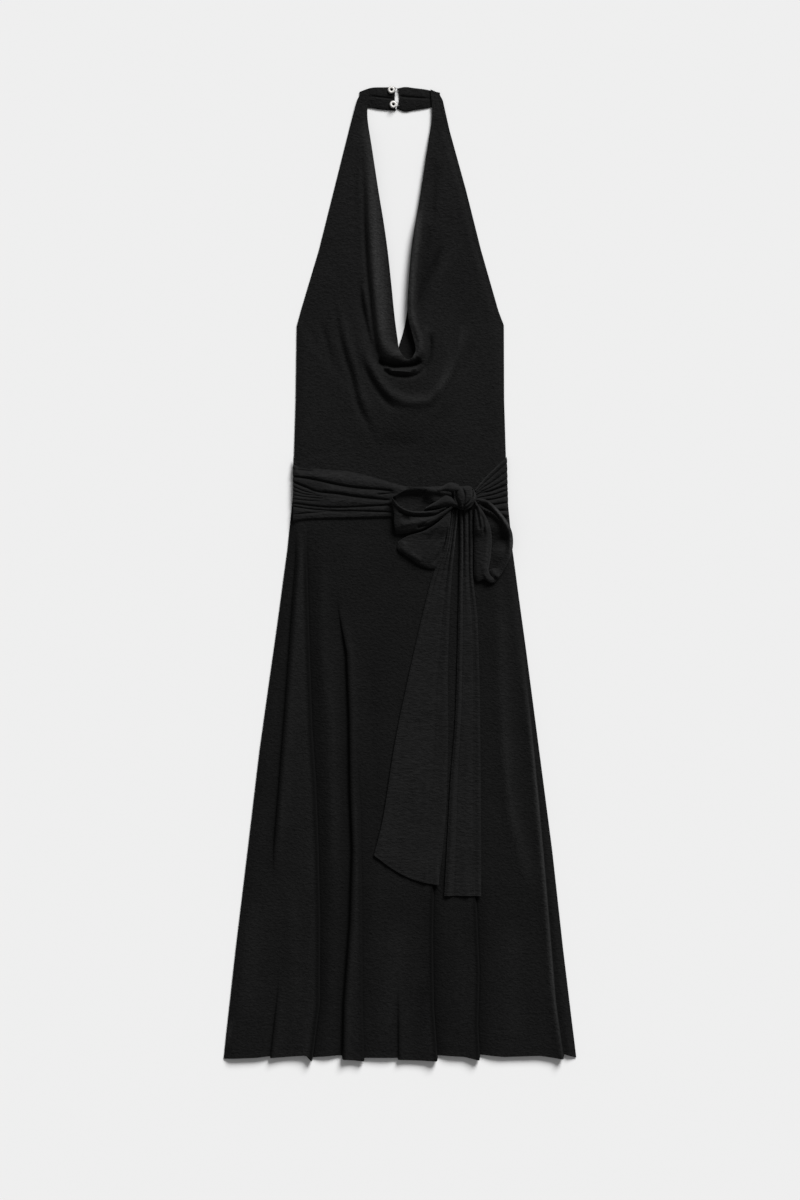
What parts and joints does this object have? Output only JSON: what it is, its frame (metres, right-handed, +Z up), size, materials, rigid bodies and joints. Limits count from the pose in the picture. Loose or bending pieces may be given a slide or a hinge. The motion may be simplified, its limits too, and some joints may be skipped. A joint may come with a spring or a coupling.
{
  "type": "halter dress",
  "caption": "black crepe halter dress laid flat, with a draped cowl, a V neck closed by a neckband, a pleated sash tied in a bow and a long flared skirt",
  "frame": {"origin": "on the surface the dress lies on, under the middle of its outline", "axes": "+X to the right of the laid dress, +Y from the hem to the neck, +Z up from the surface, out of the front"},
  "size_m": [0.4836, 1.3387, 0.0288],
  "materials": {
    "crepe": "matt crinkled crepe",
    "facing_crepe": "matt crepe, inner face",
    "skirt_crepe": "matt crinkled crepe",
    "sash_crepe": "matt crepe with crosswise crinkles",
    "button": "pale ring with a dark centre",
    "thread": "pale twisted thread"
  },
  "bodies": {
    "root": {"front_bodice": "crepe", "cowl_facing": "facing_crepe", "back_bodice": "crepe", "front_skirt": "skirt_crepe", "back_skirt": "skirt_crepe", "neckband_left": "crepe", "neckband_right": "crepe", "sash_left": "sash_crepe", "sash_right": "sash_crepe", "bow_knot": "sash_crepe", "bow_loop_left_upper": "sash_crepe", "bow_loop_left_lower": "sash_crepe", "bow_loop_right": "sash_crepe", "tail_left": "sash_crepe", "tail_right": "sash_crepe", "button_upper": "button", "button_lower": "button", "button_loop_upper": "thread", "button_loop_lower": "thread"}
  },
  "joints": []
}
